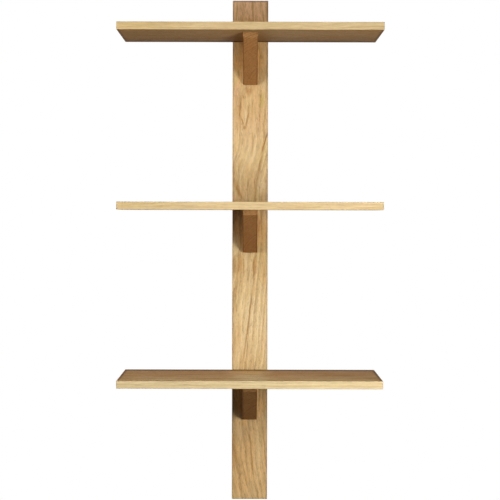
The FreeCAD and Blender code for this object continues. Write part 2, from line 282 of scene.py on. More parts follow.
def specks(graph, given, size, detail, rarity, more_when_early, rim):
    """Specks drawn out along the grain, where noise passes the rarity. Early wood lowers it."""
    chance = drawn_out(graph, given["Flow"], size, given["Seed"], detail)["Fac"]
    threshold = graph.number("MULTIPLY_ADD", given["Early Wood"], -more_when_early, rarity)
    return graph.ease(chance, threshold, graph.number("ADD", threshold, rim))


def make_open_pores():
    """Fine open pores along the grain, most of them in early wood, and dashes where they run together."""
    graph, given = new_group("open_pores", flow=(0.0, 0.0, 0.0), early_wood=0.0, seed=0.0)
    pores = specks(graph, given, PORE_SIZE, detail=0.0, rarity=0.68, more_when_early=0.14, rim=0.06)
    dashes = specks(graph, given, DASH_SIZE, detail=1.0, rarity=0.6, more_when_early=0.1, rim=0.1)
    return close_group(graph, pores=pores, dashes=dashes)


def make_fibre_streaks():
    """Long streaks of lighter and darker fibres, one set broad and one set narrow."""
    graph, given = new_group("fibre_streaks", flow=(0.0, 0.0, 0.0), seed=0.0)
    broad = drawn_out(graph, given["Flow"], BROAD_STREAK_SIZE, given["Seed"], roughness=0.6)["Fac"]
    narrow = drawn_out(graph, given["Flow"], NARROW_STREAK_SIZE, given["Seed"], roughness=0.6)["Fac"]
    return close_group(graph, broad=graph.ease(broad, 0.28, 0.72), narrow=graph.ease(narrow, 0.3, 0.7))


def make_fraying():
    """How far the rim of a stain is pushed in or out along the fibres, a little above or below nothing."""
    graph, given = new_group("fraying", position=(0.0, 0.0, 0.0), seed=0.0)
    frayed = drawn_out(graph, given["Position"], FRAY_SIZE, given["Seed"])["Fac"]
    return close_group(graph, fraying=graph.number("MULTIPLY_ADD", frayed, FRAY_DEPTH, -FRAY_DEPTH / 2))


def make_stain():
    """A soft long patch of another shade at one place on a board. It runs aside by the slant per metre."""
    graph, given = new_group("stain", position=(0.0, 0.0, 0.0), fraying=0.0, middle=(0.0, 0.0, 0.0),
                             half_width=0.01, half_length=0.05, slant=0.0)
    across, _, along = graph.split(graph.vector("SUBTRACT", given["Position"], given["Middle"]))
    across = graph.number("SUBTRACT", across, graph.number("MULTIPLY", along, given["Slant"]))
    across = graph.number("DIVIDE", across, given["Half Width"])
    along = graph.number("DIVIDE", along, given["Half Length"])
    away = graph.vector("LENGTH", graph.join(across, along, 0.0))
    away = graph.number("ADD", away, given["Fraying"])
    return close_group(graph, mask=graph.ease(away, STAIN_CORE, 1.0, low=1.0, high=0.0))


def make_ray_flecks():
    """Thin sheets from the heart to the bark: flecks on a radial face, short dashes on a flat-sawn one."""
    graph, given = new_group("ray_flecks", flow=(0.0, 0.0, 0.0), heart=(0.0, 0.1, 0.0), seed=0.0)
    across, through, along = graph.split(graph.vector("SUBTRACT", given["Flow"], given["Heart"]))
    angle = graph.number("ARCTAN2", across, through)
    radius = graph.vector("LENGTH", graph.join(across, through, 0.0))
    sheet = graph.join(
        graph.number("MULTIPLY", angle, RAYS_PER_RADIAN),
        graph.number("DIVIDE", radius, RAY_DEPTH),
        graph.number("DIVIDE", along, RAY_HEIGHT),
    )
    fleck = graph.noise(shuffled(graph, sheet, given["Seed"]), detail=1.0)["Fac"]
    return close_group(graph, flecks=graph.ease(fleck, 0.6, 0.72))


def make_tone_drift():
    """Broad cloudy patches, for colour that isn't even over a board, a plated sheet or the floor."""
    graph, given = new_group("tone_drift", position=(0.0, 0.0, 0.0), patch_size=(0.05, 0.05, 0.2),
                             seed=0.0)
    cloud = drawn_out(
        graph, given["Position"], given["Patch Size"], given["Seed"], detail=3.0, roughness=0.55)["Fac"]
    return close_group(graph, patch=graph.ease(cloud, 0.32, 0.68))


def make_end_grain():
    """How far a face cuts across the grain, and the mottle of the cut fibres there."""
    graph, given = new_group("end_grain", position=(0.0, 0.0, 0.0), grain=(0.0, 0.0, 1.0), seed=0.0)
    normal = graph.add("ShaderNodeNewGeometry").outputs["Normal"]
    end_on = graph.number("ABSOLUTE", graph.vector("DOT_PRODUCT", normal, given["Grain"]))
    cut = graph.ease(end_on, 0.12, 0.85)
    mottle = drawn_out(
        graph, given["Position"], MOTTLE_SIZE, given["Seed"], detail=3.0, roughness=0.6)["Fac"]
    return close_group(graph, cut=cut, mottle=graph.ease(mottle, 0.3, 0.7))


def make_arris():
    """The strip beside each edge of a board, darkened by oil and hands, and partly painted shade. A cut is a
    slanting face.
    """
    graph, given = new_group("arris", position=(0.0, 0.0, 0.0), half_size=(0.1, 0.1, 0.1),
                             cut_normal=(0.0, 0.0, 1.0), cut_depth=10.0, reach=0.002, seed=0.0)
    inset = graph.vector("SUBTRACT", given["Half Size"], graph.vector("ABSOLUTE", given["Position"]))
    side, face, end = graph.split(inset)
    to_cut = graph.vector("DOT_PRODUCT", given["Position"], given["Cut Normal"])
    to_cut = graph.number("SUBTRACT", given["Cut Depth"], to_cut)
    first_low = graph.number("MINIMUM", side, face)
    first_high = graph.number("MAXIMUM", side, face)
    second_low = graph.number("MINIMUM", end, to_cut)
    second_high = graph.number("MAXIMUM", end, to_cut)
    higher_low = graph.number("MAXIMUM", first_low, second_low)
    lower_high = graph.number("MINIMUM", first_high, second_high)
    second_nearest = graph.number("MINIMUM", higher_low, lower_high)
    waves = shuffled(graph, graph.scaled(given["Position"], ARRIS_WAVES), given["Seed"])
    reach = graph.product(given["Reach"], graph.number("ADD", graph.noise(waves)["Fac"], 0.5))
    return close_group(graph, arris=graph.ease(second_nearest, 0.0, reach, low=1.0, high=0.0))


def make_glued_staves():
    """A wide board glued up from narrow ones: chance moves and turns each stave, and fine joints show."""
    graph, given = new_group("glued_staves", position=(0.0, 0.0, 0.0), stave_width=0.0667, seed=0.0)
    across, through, along = graph.split(given["Position"])
    row = graph.number("ROUND", graph.number("DIVIDE", across, given["Stave Width"]))
    inner = graph.number("SUBTRACT", across, graph.number("MULTIPLY", row, given["Stave Width"]))
    chance = graph.split(graph.dice(graph.join(row, given["Seed"], 0.5))["Color"])
    turned = graph.number("MULTIPLY_ADD", graph.number("GREATER_THAN", chance[0], 0.5), 2.0, -1.0)
    leftmost = graph.number("SUBTRACT", inner, STAVE_SHIFT_ASIDE / 2)
    moved = graph.join(
        graph.number("MULTIPLY_ADD", chance[1], STAVE_SHIFT_ASIDE, leftmost),
        graph.number("MULTIPLY", through, turned),
        graph.number("MULTIPLY_ADD", chance[2], STAVE_SHIFT_ALONG, along),
    )
    half = graph.number("MULTIPLY", given["Stave Width"], 0.5)
    joint = graph.ease(graph.number("ABSOLUTE", inner), graph.number("SUBTRACT", half, JOINT_WIDTH), half)
    return close_group(graph, stave_position=moved, joint=joint, stave_tone=chance[2])


def make_swelling():
    """A swelling of the rings at one place: where it meets the face, the figure closes into an eye."""
    graph, given = new_group("swelling", position=(0.0, 0.0, 0.0), middle=(0.0, 0.0, 0.0),
                             reach=(0.01, 0.02, 0.05), height=0.004)
    off = graph.vector("SUBTRACT", given["Position"], given["Middle"])
    off = graph.vector("DIVIDE", off, given["Reach"])
    spread = graph.vector("DOT_PRODUCT", off, off)
    bell = graph.number("EXPONENT", graph.number("MULTIPLY", spread, -1.0))
    return close_group(graph, swell=graph.number("MULTIPLY", bell, given["Height"]))


def make_metal_scuffs():
    """Fine scratches along one way of the metal, and the dull bloom of the plating."""
    graph, given = new_group("metal_scuffs", position=(0.0, 0.0, 0.0), scratch_size=(0.0002, 0.0002, 0.006),
                             seed=0.0)
    scratches = drawn_out(graph, given["Position"], given["Scratch Size"], given["Seed"])["Fac"]
    spots = shuffled(graph, graph.scaled(given["Position"], BLOOM_SPOTS), given["Seed"])
    bloom = graph.noise(spots, detail=3.0, roughness=0.6)["Fac"]
    bloom = graph.ease(bloom, 0.35, 0.65)
    return close_group(graph, scratches=graph.ease(scratches, 0.45, 0.7), bloom=bloom)


GRAIN_FLOW = make_grain_flow()
GROWTH_RINGS = make_growth_rings()
OPEN_PORES = make_open_pores()
FIBRE_STREAKS = make_fibre_streaks()
FRAYING = make_fraying()
STAIN = make_stain()
RAY_FLECKS = make_ray_flecks()
TONE_DRIFT = make_tone_drift()
END_GRAIN = make_end_grain()
ARRIS = make_arris()
GLUED_STAVES = make_glued_staves()
SWELLING = make_swelling()
METAL_SCUFFS = make_metal_scuffs()


# --- oiled oak ------------------------------------------------------------------------------------

OAK = {
    "late": swatch(226, 200, 150),
    "pale": swatch(238, 214, 168),
    "straw": swatch(212, 184, 122),
    "warm": swatch(212, 168, 114),
    "rose": swatch(234, 184, 144),
    "olive": swatch(204, 178, 106),
    "heart": swatch(190, 138, 80),
    "amber": swatch(232, 176, 100),
    "early": swatch(172, 126, 72),
    "pore": swatch(114, 76, 42),
    "fleck": swatch(236, 213, 168),
    "end": swatch(150, 106, 60),
    "arris": swatch(126, 88, 50),
    # pale wood, and painted light on the shelf fronts and on patches of the spine and the bottom shelf
    "pale_and_painted_light": swatch(255, 232, 179),
    # painted shade on the shelves' lower faces
    "shade": swatch(132, 88, 36),
    # dust with painted shade, along the shelves' rear edges and ends and the spine's rims
    "dust_and_painted_shade": swatch(80, 56, 34),
    # painted shade, redder, towards the rear of the shelves' upper faces
    "russet": swatch(180, 98, 56),
}
BRACKET_OAK = {
    "late": swatch(174, 126, 76),
    "straw": swatch(164, 116, 66),
    "warm": swatch(164, 106, 58),
    "early": swatch(142, 92, 50),
    "pore": swatch(96, 58, 32),
    "fleck": swatch(186, 142, 92),
    "end": swatch(170, 120, 70),
    # painted light on the upright front face, which faces the lamps
    "nose": swatch(228, 192, 138),
    "arris": swatch(104, 64, 36),
}

# the share of the colour under it that each layer covers
STRAW_SHARE = 0.75
WARM_SHARE = 0.6
EARLY_SHARE = 0.8
FLECK_SHARE = 0.3
END_SHARE = 0.85
END_RING_SHARE = 0.5
DASH_SHARE = 0.24
PORE_SHARE = 0.5
ARRIS_SHARE = 0.7
CALM_FADE = 0.65           # what rings, dashes and pores lose where the figure is calm

# how far each layer varies the lightness of the wood
BROAD_STREAK_DEPTH = 0.14
NARROW_STREAK_DEPTH = 0.16
YEAR_DEPTH = 0.06
MOTTLE_DEPTH = 0.3

WARM_PATCH = (0.02, 0.02, 0.11)
STRAW_PATCH = (0.026, 0.026, 0.09)
OIL_ROUGHNESS = 0.6
OIL_SHINE = 0.03
OIL_IOR = 1.45
OAK_RELIEF = 0.00012
GRAIN_WAY = {"X": (1.0, 0.0, 0.0), "Y": (0.0, 1.0, 0.0), "Z": (0.0, 0.0, 1.0)}

# one seed for each batch, and the three shelves and the three brackets count on from theirs
SEED = {"spine": 1.0, "shelves": 11.0, "brackets": 21.0, "beech": 9.0, "zinc": 3.0, "steel": 4.0,
        "floor": 5.0}


def box_of(node):
    """Centre and half size of a piece's box."""
    low, high = (Vector(corner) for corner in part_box(node))
    return (low + high) / 2, (high - low) / 2


def new_material(name):
    material = bpy.data.materials.new(name)
    material.use_nodes = True
    return material, Graph(material.node_tree), material.node_tree.nodes["Principled BSDF"]


def in_grain_order(axes, grain):
    """Turns x, y, z round so that the one along the grain comes last."""
    x, y, z = axes
    return {"X": (y, z, x), "Y": (z, x, y), "Z": (x, y, z)}[grain]


def board_position(graph, centre, grain):
    """The place on a board, measured from its centre, with the grain along Z."""
    here = graph.add("ShaderNodeTexCoord").outputs["Object"]
    return graph.join(*in_grain_order(graph.split(graph.vector("SUBTRACT", here, tuple(centre))), grain))


def oiled_oak(graph, shader, position, board, grain, tones, heart, seed, arris, flow, rings, tone=0.0,
              grounds=(), stains=(), washes=(), calm=0.0):
    """Lays the oak's layers over each other and gives them to the shader.

    The position is the place in the timber, and board the place on the finished board. Grounds lie under
    the stains and washes over them: each is a tone's name with the mask of the faces that it lies on. A
    stain is a tone's name with the place, size, slant and strength of its patch on the board. Where calm
    is 1, rings, dashes and pores show faintly.
    """
    flowing = graph.place(GRAIN_FLOW, position=position, seed=seed, **flow)["Flow"]
    years = graph.place(GROWTH_RINGS, flow=flowing, heart=heart, seed=seed, **rings)
    early = years["Early Wood"]
    pores = graph.place(OPEN_PORES, flow=flowing, early_wood=early, seed=seed)
    streaks = graph.place(FIBRE_STREAKS, flow=flowing, seed=seed)
    flecks = graph.place(RAY_FLECKS, flow=flowing, heart=heart, seed=seed)["Flecks"]
    warmth = graph.place(TONE_DRIFT, position=flowing, patch_size=WARM_PATCH, seed=seed)["Patch"]
    strawness = graph.place(TONE_DRIFT, position=flowing, patch_size=STRAW_PATCH, seed=seed + 0.5)["Patch"]
    ends = graph.place(END_GRAIN, position=position, grain=GRAIN_WAY[grain], seed=seed)

    colour = graph.cover(tones["late"], tones["straw"], strawness, STRAW_SHARE)
    colour = graph.cover(colour, tones["warm"], warmth, WARM_SHARE)
    for name, mask in grounds:
        colour = graph.cover(colour, tones[name], mask)
    fraying = graph.place(FRAYING, position=board, seed=seed)["Fraying"] if stains else 0.0
    for name, x, z, half_width, half_length, slant, strength in stains:
        mask = graph.place(STAIN, position=board, fraying=fraying, middle=(x, 0.0, z),
                           half_width=half_width, half_length=half_length, slant=slant)["Mask"]
        colour = graph.cover(colour, tones[name], mask, strength)
    for name, mask in washes:
        colour = graph.cover(colour, tones[name], mask)

    show = graph.number("MULTIPLY_ADD", calm, -CALM_FADE, 1.0)
    colour = graph.cover(colour, tones["early"], early, EARLY_SHARE, show)
    shade = graph.varied(streaks["Broad"], BROAD_STREAK_DEPTH)
    shade = graph.product(shade, graph.varied(streaks["Narrow"], NARROW_STREAK_DEPTH))
    shade = graph.number("SUBTRACT", shade, YEAR_DEPTH / 2)
    shade = graph.number("MULTIPLY_ADD", years["Year Tone"], YEAR_DEPTH, shade)
    colour = graph.scaled(colour, graph.number("ADD", shade, tone))
    colour = graph.cover(colour, tones["fleck"], flecks, FLECK_SHARE)
    end_colour = graph.cover(tones["end"], tones["pore"], early, END_RING_SHARE)
    end_colour = graph.scaled(end_colour, graph.varied(ends["Mottle"], -MOTTLE_DEPTH))
    colour = graph.cover(colour, end_colour, ends["Cut"], END_SHARE)
    colour = graph.cover(colour, tones["pore"], pores["Dashes"], DASH_SHARE, show)
    colour = graph.cover(colour, tones["pore"], pores["Pores"], PORE_SHARE, show)
    colour = graph.cover(colour, tones["arris"], arris, ARRIS_SHARE)
    graph.feed(shader.inputs["Base Color"], colour)

    rough = OIL_ROUGHNESS
    for mask, rougher in ((pores["Pores"], 0.1), (flecks, -0.08), (ends["Cut"], 0.1), (warmth, 0.06)):
        rough = graph.number("MULTIPLY_ADD", mask, rougher, rough)
    graph.feed(shader.inputs["Roughness"], rough)

    height = graph.number("MULTIPLY", streaks["Narrow"], 0.25)
    for mask, depth in ((pores["Pores"], 1.0), (pores["Dashes"], 0.5), (early, 0.3)):
        height = graph.number("MULTIPLY_ADD", mask, -depth, height)
    emboss(graph, shader, height, strength=0.5, depth=OAK_RELIEF)
    shader.inputs["Specular IOR Level"].default_value = OIL_SHINE
    shader.inputs["IOR"].default_value = OIL_IOR


# --- the spine ------------------------------------------------------------------------------------

# the spine's own patches: tone, x and z from its middle, half width, half length, slant, strength
SPINE_STAINS = (
    # broad shades, from the top down; the pale band in the bay below the middle shelf and the pale patches
    # below the bottom shelf are painted light
    ("rose", 0.0, 0.590, 0.080, 0.080, 0.0, 0.8),
    ("pale", 0.0, 0.590, 0.080, 0.070, 0.0, 0.25),
    ("amber", 0.0, 0.455, 0.070, 0.070, 0.0, 0.7),
    ("pale", 0.0, 0.250, 0.070, 0.110, 0.0, 0.2),
    ("rose", 0.0, 0.320, 0.090, 0.110, 0.0, 0.25),
    ("amber", 0.0, 0.045, 0.070, 0.060, 0.0, 0.45),
    ("pale", 0.0, -0.190, 0.090, 0.150, 0.0, 0.5),
    ("amber", 0.0, -0.360, 0.070, 0.055, 0.0, 0.6),
    ("pale_and_painted_light", 0.0, -0.350, 0.070, 0.040, 0.0, 0.25),
    ("warm", 0.0, -0.500, 0.100, 0.150, 0.0, 0.8),
    ("pale", 0.0, -0.490, 0.080, 0.150, 0.0, 0.5),
    ("amber", 0.0, -0.500, 0.080, 0.150, 0.0, 0.45),
    # the crown above the top shelf: two dark lines, three brown patches low down, and dark rims of dust and
    # painted shade
    ("early", 0.005, 0.585, 0.0045, 0.050, 0.0, 0.65),
    ("early", -0.033, 0.570, 0.0028, 0.030, 0.05, 0.6),
    ("heart", -0.020, 0.532, 0.0080, 0.041, 0.0, 0.85),
    ("heart", 0.001, 0.531, 0.0115, 0.041, 0.0, 0.9),
    ("heart", 0.025, 0.530, 0.0110, 0.036, 0.0, 0.75),
    ("dust_and_painted_shade", 0.040, 0.580, 0.0060, 0.050, 0.0, 0.22),
    ("dust_and_painted_shade", -0.0415, 0.575, 0.0040, 0.050, 0.0, 0.25),
    ("pore", 0.0, 0.599, 0.200, 0.0035, 0.0, 0.55),
    # the bay below the top shelf: shades round the eye, its pale middle, then its outline
    ("rose", -0.034, 0.375, 0.014, 0.040, 0.0, 0.5),
    ("olive", 0.028, 0.362, 0.010, 0.030, 0.0, 0.8),
    ("heart", -0.005, 0.385, 0.011, 0.024, 0.0, 0.75),
    ("heart", 0.0045, 0.338, 0.0055, 0.045, 0.0, 0.35),
    ("pale", -0.011, 0.324, 0.0032, 0.026, 0.0, 0.7),
    ("early", -0.0245, 0.343, 0.0036, 0.028, 0.05, 0.65),
    ("early", -0.020, 0.314, 0.0036, 0.021, -0.24, 0.7),
    ("early", -0.004, 0.338, 0.0034, 0.032, 0.02, 0.6),
    ("early", -0.0085, 0.311, 0.0036, 0.020, 0.17, 0.65),
    ("early", -0.014, 0.2955, 0.0075, 0.0055, 0.0, 0.7),
    ("early", -0.015, 0.369, 0.0080, 0.006, 0.0, 0.5),
    # the calm stretch under the eye, the line that slants to the right edge, and the lower left corner
    ("late", -0.020, 0.235, 0.022, 0.070, 0.0, 0.6),
    ("warm", 0.007, 0.265, 0.009, 0.034, 0.08, 0.4),
    ("early", 0.0065, 0.262, 0.0028, 0.036, 0.0, 0.45),
    ("heart", 0.003, 0.233, 0.004, 0.013, 0.1, 0.4),
    ("pale", -0.034, 0.222, 0.008, 0.024, 0.0, 0.45),
    ("pale", -0.025, 0.185, 0.009, 0.026, 0.0, 0.5),
    # painted light: this pale patch lightens the shade just above the middle shelf
    ("pale", 0.026, 0.160, 0.014, 0.030, 0.0, 0.5),
    ("early", 0.034, 0.259, 0.0035, 0.032, 0.30, 0.95),
    ("pore", 0.0385, 0.274, 0.0030, 0.012, 0.25, 0.5),
    ("early", 0.024, 0.203, 0.0055, 0.060, 0.16, 0.5),
    ("early", 0.014, 0.150, 0.0030, 0.040, 0.10, 0.4),
    ("heart", -0.030, 0.148, 0.009, 0.034, -0.35, 0.7),
    ("early", -0.027, 0.141, 0.0045, 0.030, -0.59, 0.45),
    ("rose", -0.037, 0.128, 0.0070, 0.012, 0.0, 0.6),
    # the bay below the middle shelf: brown wood by the bracket's foot, and one long line
    ("heart", 0.022, 0.062, 0.006, 0.032, 0.0, 0.8),
    ("heart", 0.012, -0.035, 0.009, 0.030, 0.0, 0.6),
    ("early", 0.009, -0.045, 0.0030, 0.045, 0.0, 0.75),
    ("heart", -0.024, -0.032, 0.011, 0.030, 0.0, 0.6),
    ("early", -0.015, -0.038, 0.0032, 0.028, 0.0, 0.6),
    ("pale_and_painted_light", -0.038, -0.075, 0.007, 0.034, 0.0, 0.5),
    ("early", -0.002, -0.160, 0.0030, 0.095, 0.125, 0.8),
    ("heart", -0.026, -0.200, 0.008, 0.055, 0.0, 0.35),
    ("early", -0.0128, -0.243, 0.0030, 0.045, 0.15, 0.6),
    # the tail below the bottom shelf: brown wood down the left edge, and lines that lean the other way
    # painted light: this amber patch lightens the shade under the bottom bracket's foot
    ("amber", -0.014, -0.416, 0.013, 0.012, 0.0, 0.4),
    ("olive", 0.028, -0.445, 0.010, 0.040, 0.0, 0.25),
    # painted light, where less light reaches the foot of the spine
    ("pale_and_painted_light", 0.020, -0.500, 0.012, 0.110, 0.0, 0.25),
    ("heart", -0.036, -0.505, 0.010, 0.105, 0.0, 0.5),
    ("early", -0.001, -0.449, 0.0036, 0.032, -0.33, 0.5),
    ("early", -0.0205, -0.468, 0.0034, 0.034, 0.05, 0.45),
    ("early", -0.012, -0.536, 0.0034, 0.046, -0.22, 0.5),
    ("early", 0.005, -0.494, 0.0030, 0.064, -0.09, 0.6),
)

# how far aside the grain has run at each height, from the foot of the spine to its crown
SPINE_LEAN = ((-0.6, 0.028), (-0.45, 0.008), (-0.34, 0.0), (-0.24, 0.004), (0.0, 0.026), (0.16, 0.028),
              (0.27, 0.05), (0.36, 0.054), (0.6, 0.044))
FULL_LEAN = 0.06           # the lean at the top of the curve that holds these
SPINE_HEART = (-0.065, 0.075, 0.0)
EYE_MIDDLE = (-0.006, 0.35)
EYE_REACH = (0.009, 0.02, 0.045)
EYE_SWELL = 0.007
CALM_MIDDLE = (-0.010, 0.0, 0.222)
CALM_HALF_SIZE = (0.040, 0.075)
SPINE_CALM = 0.85
SPINE_ARRIS = 0.5


def spine_lean(graph, height, half_length):
    """How far aside the grain has run at a height."""
    def on_curve(z, shift):
        return (z / half_length * 0.5 + 0.5, shift / FULL_LEAN)
    node = graph.add("ShaderNodeFloatCurve")
    graph.feed(node.inputs["Value"], graph.number("MULTIPLY_ADD", height, 0.5 / half_length, 0.5))
    points = node.mapping.curves[0].points
    foot, *between, crown = SPINE_LEAN
    points[0].location = on_curve(*foot)
    points[-1].location = on_curve(*crown)
    for bend in between:
        points.new(*on_curve(*bend))
    node.mapping.update()
    return graph.number("MULTIPLY", node.outputs[0], -FULL_LEAN)


def spine_oak():
    """One flat-sawn board, grain upright, with an eye in its figure and a lean that changes down it."""
    material, graph, shader = new_material("spine_oak")
    centre, half = box_of("spine_board")
    position = board_position(graph, centre, "Z")
    lean = spine_lean(graph, graph.split(position)[2], half.z)
    eye_x, eye_z = EYE_MIDDLE
    swell = graph.place(SWELLING, position=position, middle=(eye_x, -half.y, eye_z), reach=EYE_REACH,
                        height=EYE_SWELL)["Swell"]
    arris = graph.place(ARRIS, position=position, half_size=tuple(half), reach=0.005,
                        seed=SEED["spine"])["Arris"]
    calm_width, calm_length = CALM_HALF_SIZE
    calm = graph.place(STAIN, position=position, middle=CALM_MIDDLE, half_width=calm_width,
                       half_length=calm_length)["Mask"]
    oiled_oak(
        graph, shader, position, position, "Z", OAK, heart=SPINE_HEART, seed=SEED["spine"],
        arris=graph.product(arris, SPINE_ARRIS),
        flow={"sway": 0.004, "sway_size": (0.1, 0.1, 0.13), "lean": lean},
        rings={"ring_width": 0.0078, "swell": swell, "taper": 0.004, "ragged": 0.34},
        stains=SPINE_STAINS, calm=graph.product(calm, SPINE_CALM),
    )
    return material


# --- the shelves ----------------------------------------------------------------------------------

STAVES = 3
# laid out as the spine's are, from the shelf's middle: here x runs back to the wall, and z to the right
SHELF_STAINS = {
    "top": (("pale_and_painted_light", 0.0, 0.190, 0.300, 0.190, 0.0, 0.4),
            ("straw", 0.0, -0.240, 0.300, 0.130, 0.0, 0.5)),
    "middle": (("straw", 0.0, -0.250, 0.300, 0.110, 0.0, 0.35),
               ("pale", 0.0, 0.230, 0.300, 0.120, 0.0, 0.3)),
    # the pale and amber patch across the bottom shelf's middle is a painted reflection of the spine
    "bottom": (("pale_and_painted_light", 0.0, 0.0, 0.300, 0.060, 0.0, 0.55),
               ("amber", 0.1, 0.0, 0.120, 0.055, 0.0, 0.5)),
}
PAINTED_FRONT_LIGHT = {"top": 0.5, "middle": 0.66, "bottom": 1.0}     # painted light: how much lighter each shelf's front face is made, the most on the bottom shelf
SHELF_HEART = (0.0, -0.09, 0.0)
SHELF_TURN = (0.2, 0.9)    # how squarely a face has to look one way to count as that side of the shelf
STAVE_TONE = 0.08
STAVE_JOINT = 0.4
DUST_AND_SHADE_SHARE = 0.75

# where a shelf's faces darken by painted shade, and by dust with it at the rear edge and ends: start and end
# in metres, then how much at each of them
REAR_DUST_AND_SHADE = (0.014, 0.038, 1.0, 0.0)        # dust and painted shade on both faces, from the rear edge
END_DUST_AND_SHADE = (0.003, 0.010, 1.0, 0.0)         # dust and painted shade on both faces, from either end
LOWER_PAINTED_SHADE = (0.04, 0.20, 0.68, 0.81)      # painted shade on the lower face, less of it near the middle
LOWER_REAR_PAINTED_SHADE = (0.03, 0.14, 0.4, 0.08)         # more painted shade on the lower face, towards the rear edge
UPPER_REAR_PAINTED_SHADE = (0.02, 0.16, 0.4, 0.15)       # painted shade on the upper face, from the rear edge
UPPER_REAR_PAINTED_RUSSET = (0.09, 0.18, 0.3, 0.08)      # painted shade in russet, the same way


def shelf_oak(level, seed):
    """A board glued up from three staves, with the grain across the width of the shelf."""
    material, graph, shader = new_material(f"{level}_shelf_oak")
    centre, half = box_of(f"{level}_shelf")
    position = board_position(graph, centre, "X")
    front, above, below = (facing(graph, way, *SHELF_TURN) for way in (TO_ROOM, UP, DOWN))
    staves = graph.place(GLUED_STAVES, position=position, stave_width=half.y * 2 / STAVES, seed=seed)
    arris = graph.place(ARRIS, position=position, half_size=in_grain_order(half, "X"), reach=0.007,
                        seed=seed)["Arris"]
    arris = graph.product(arris, graph.number("SUBTRACT", 1.0, front))
    arris = graph.number("MAXIMUM", arris, graph.product(staves["Joint"], STAVE_JOINT))

    back, _, along = graph.split(position)
    from_rear = graph.number("SUBTRACT", half.y, back)
    from_middle = graph.number("ABSOLUTE", along)
    from_end = graph.number("SUBTRACT", half.x, from_middle)
    dust_and_painted_shade = graph.number("MAXIMUM", graph.ease(from_rear, *REAR_DUST_AND_SHADE), graph.ease(from_end, *END_DUST_AND_SHADE))
    dust_and_painted_shade = graph.product(dust_and_painted_shade, graph.number("MAXIMUM", above, below))
    oiled_oak(
        graph, shader, staves["Stave Position"], position, "X", OAK, heart=SHELF_HEART, seed=seed,
        arris=arris,
        flow={"sway": 0.008, "sway_size": (0.12, 0.12, 0.36)},
        rings={"ring_width": 0.0065, "taper": 0.006, "ragged": 0.3},
        tone=graph.number("MULTIPLY_ADD", staves["Stave Tone"], STAVE_TONE, -STAVE_TONE / 2), calm=front,
        stains=SHELF_STAINS[level],
        # painted light on the front face
        grounds=(("pale_and_painted_light", graph.product(front, PAINTED_FRONT_LIGHT[level])),
                 # painted shade on the upper face, darker and redder towards the rear edge
                 ("heart", graph.product(above, graph.ease(from_rear, *UPPER_REAR_PAINTED_SHADE))),
                 ("russet", graph.product(above, graph.ease(from_rear, *UPPER_REAR_PAINTED_RUSSET)))),
        # painted shade on the lower face
        washes=(("shade", graph.product(below, graph.ease(from_middle, *LOWER_PAINTED_SHADE))),
                ("dust_and_painted_shade", graph.product(below, graph.ease(from_rear, *LOWER_REAR_PAINTED_SHADE))),
                # dust and painted shade along the rear edge and the ends
                ("dust_and_painted_shade", graph.product(dust_and_painted_shade, DUST_AND_SHADE_SHARE))),
    )
    return material


# --- the brackets ---------------------------------------------------------------------------------

# painted shade: the lower brackets are made darker, as they sit deeper in the shelves' shade
BRACKET_PAINTED_SHADE = {"top": 0.0, "middle": -0.09, "bottom": -0.22}
BRACKET_HEART = (-0.07, 0.05, 0.0)
BRACKET_NOSE = 0.012       # the upright face at the front
BRACKET_TOE = 0.005        # the level face at the foot
BRACKET_CALM = 0.6
NOSE_PAINTED_LIGHT_SHARE = 0.85
NOSE_TURN = (0.7, 0.95)    # the slope looks partly to the room too, and isn't the nose
FAR_OFF = 10.0             # puts an edge out of reach


def bracket_oak(level, seed):
    """A wedge with its grain front to back: its slope cuts across the fibres and drinks more oil."""
    material, graph, shader = new_material(f"{level}_bracket_oak")
    centre, half = box_of(f"{level}_bracket")
    position = board_position(graph, centre, "Y")
    nose = Vector((0.0, -half.y, half.z - BRACKET_NOSE))
    toe = Vector((0.0, half.y - BRACKET_TOE, -half.z))
    slope = (nose - toe).normalized()
    slope_normal = Vector((0.0, -slope.z, slope.y))
    only_sides = (half.x, FAR_OFF, FAR_OFF)
    arris = graph.place(ARRIS, position=position, half_size=in_grain_order(only_sides, "Y"),
                        cut_normal=in_grain_order(slope_normal, "Y"), cut_depth=slope_normal.dot(nose),
                        reach=0.0035, seed=seed)["Arris"]
    oiled_oak(
        graph, shader, position, position, "Y", BRACKET_OAK, heart=BRACKET_HEART, seed=seed, arris=arris,
        flow={"sway": 0.004, "sway_size": (0.04, 0.04, 0.08)},
        rings={"ring_width": 0.0045, "taper": 0.004},
        tone=BRACKET_PAINTED_SHADE[level], calm=BRACKET_CALM,
        # painted light on the nose
        washes=(("nose", graph.product(facing(graph, TO_ROOM, *NOSE_TURN), NOSE_PAINTED_LIGHT_SHARE)),),
    )
    return material


# --- dowels, screws and hanger plates -------------------------------------------------------------

BEECH = swatch(224, 194, 158)
BEECH_FLECK = swatch(178, 132, 92)
BEECH_FLECK_SHARE = 0.6
BEECH_ROUGHNESS = 0.62
BEECH_HEART = (0.3, 0.2, 0.0)
ZINC_BRIGHT = swatch(226, 224, 216)
ZINC_DULL = swatch(182, 182, 176)
ZINC_ROUGHNESS = 0.26
ZINC_SCRATCH = (0.0003, 0.004, 0.0003)
STEEL_BRIGHT = swatch(212, 213, 214)
STEEL_DULL = swatch(160, 162, 166)
STEEL_ROUGHNESS = 0.34
STEEL_SCRATCH = (0.00025, 0.00025, 0.009)
PLATING_PATCH = (0.012, 0.012, 0.012)
PLATING_RELIEF = 0.00003


